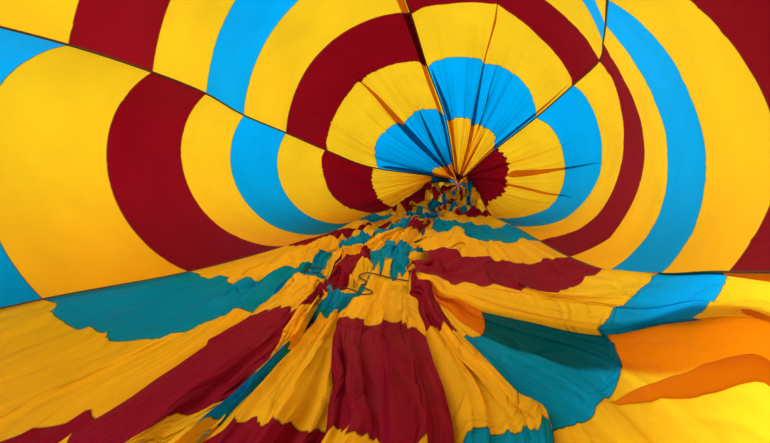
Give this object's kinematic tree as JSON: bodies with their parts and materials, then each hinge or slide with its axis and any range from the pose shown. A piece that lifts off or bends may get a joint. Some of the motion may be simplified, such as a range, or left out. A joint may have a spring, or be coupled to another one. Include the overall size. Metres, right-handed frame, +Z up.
{
  "type": "hot air balloon envelope, part inflated and lying on its side",
  "caption": "Fabric envelope of a hot air balloon lying on its side with its mouth open, with load tapes, crown ring, steel rings at the mouth and a loose control line.",
  "frame": {"origin": "bottom centre of the box round the envelope as it lies on the ground, without the loose control line", "axes": "+Y runs along the envelope from its mouth to its crown, +Z is up, +X is to the right for someone at the mouth who looks in"},
  "size_m": [5.0136, 15.2168, 3.6441],
  "materials": {
    "fabric_yellow": "coated ripstop nylon, yellow in the row of panels nearest the crown",
    "fabric_red": "coated ripstop nylon, red in the row of panels nearest the crown",
    "fabric_blue": "coated ripstop nylon, blue in the row of panels nearest the crown",
    "webbing": "woven polyester webbing",
    "steel": "bright drawn steel",
    "aluminium": "satin",
    "rope": "braided cord"
  },
  "bodies": {
    "root": {"gore_01_upper_left": "fabric_yellow", "gore_02_upper_right": "fabric_red", "gore_03_right_wall": "fabric_yellow", "gore_04_right_floor": "fabric_blue", "gore_05_fold": "fabric_yellow", "gore_06_fold": "fabric_red", "gore_07_fold": "fabric_yellow", "gore_08_fold": "fabric_blue", "gore_09_fold": "fabric_yellow", "gore_10_fold": "fabric_red", "gore_11_left_floor": "fabric_yellow", "gore_12_left_wall": "fabric_blue", "load_tape_01": "webbing", "load_tape_02": "webbing", "load_tape_03": "webbing", "load_tape_04": "webbing", "load_tape_05": "webbing", "load_tape_06": "webbing", "load_tape_07": "webbing", "load_tape_08": "webbing", "load_tape_09": "webbing", "load_tape_10": "webbing", "load_tape_11": "webbing", "load_tape_12": "webbing", "steel_ring_01": "steel", "steel_ring_02": "steel", "steel_ring_03": "steel", "steel_ring_04": "steel", "steel_ring_05": "steel", "steel_ring_06": "steel", "steel_ring_07": "steel", "steel_ring_08": "steel", "steel_ring_09": "steel", "steel_ring_10": "steel", "steel_ring_11": "steel", "steel_ring_12": "steel", "crown_ring": "aluminium", "control_line": "rope"}
  },
  "joints": []
}
